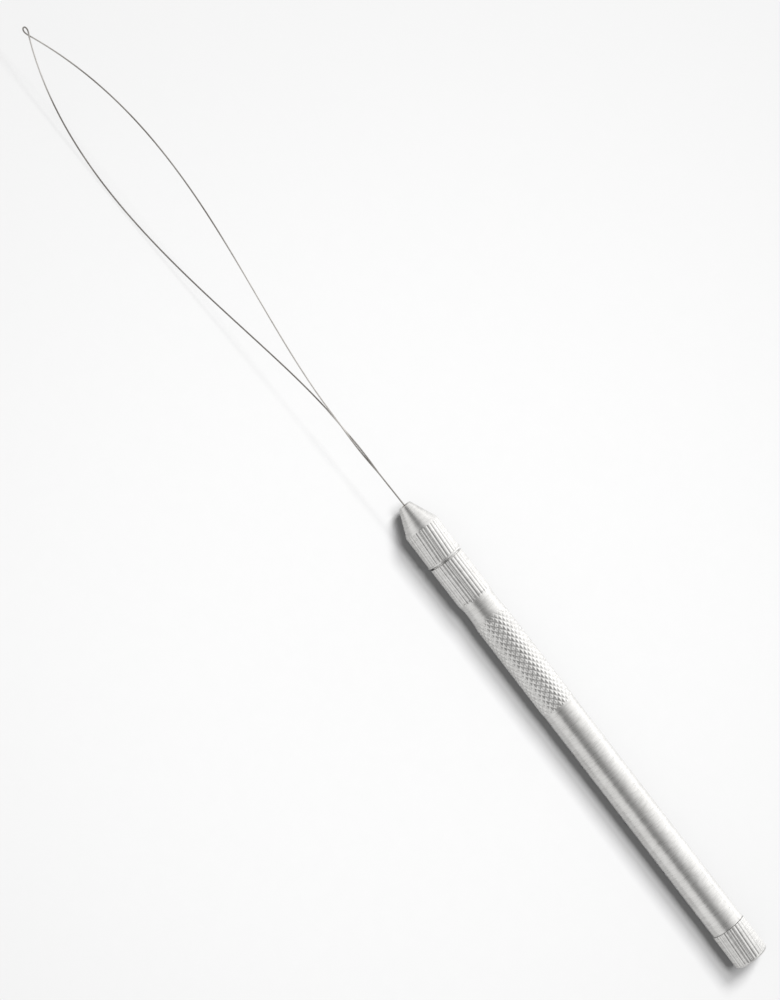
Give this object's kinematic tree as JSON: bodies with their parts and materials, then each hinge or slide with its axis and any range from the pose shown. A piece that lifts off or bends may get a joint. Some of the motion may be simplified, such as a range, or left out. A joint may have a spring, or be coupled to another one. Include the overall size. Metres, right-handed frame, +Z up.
{
  "type": "needle threader",
  "caption": "Wire-loop threader: a springy steel loop with a small eye, gripped by a split collet in a slim turned aluminium handle with a screw nose and tail cap.",
  "frame": {"origin": "centre of the tail cap's flat end face, on the handle's axis", "axes": "+X along the handle's axis from the tail to the wire loop, +Z up from the table that the tool lies on, +Y to the side of the loop's low strand"},
  "size_m": [0.2599, 0.0148, 0.0093],
  "materials": {
    "satin_aluminium": "turned and knurled, satin, uncoated",
    "collet_brass": "turned and slit",
    "spring_steel": "drawn bright wire"
  },
  "bodies": {
    "handle": {"handle": "satin_aluminium"},
    "collet": {"collet": "collet_brass"},
    "nose_cap": {"nose_cap": "satin_aluminium"},
    "wire_loop": {"wire_loop": "spring_steel"},
    "tail_cap": {"tail_cap": "satin_aluminium"}
  },
  "joints": [
    {"name": "collet_slide", "type": "slide", "parent": "handle", "child": "collet", "axis": [1, 0, 0], "range_m": [0, 0.006]},
    {"name": "nose_turn", "type": "hinge", "parent": "collet", "child": "nose_cap", "pos_m": [0.119, 0, 0], "axis": [1, 0, 0], "range_deg": [0, 2880]},
    {"name": "wire_pull", "type": "slide", "parent": "collet", "child": "wire_loop", "axis": [1, 0, 0], "range_m": [0, 0.026]},
    {"name": "tail_cap_off", "type": "slide", "parent": "handle", "child": "tail_cap", "axis": [-1, 0, 0], "range_m": [0, 0.008]}
  ],
  "couplings": [
    {"joint": "nose_turn", "follows": "collet_slide", "rad_per_m": 8377.6}
  ]
}
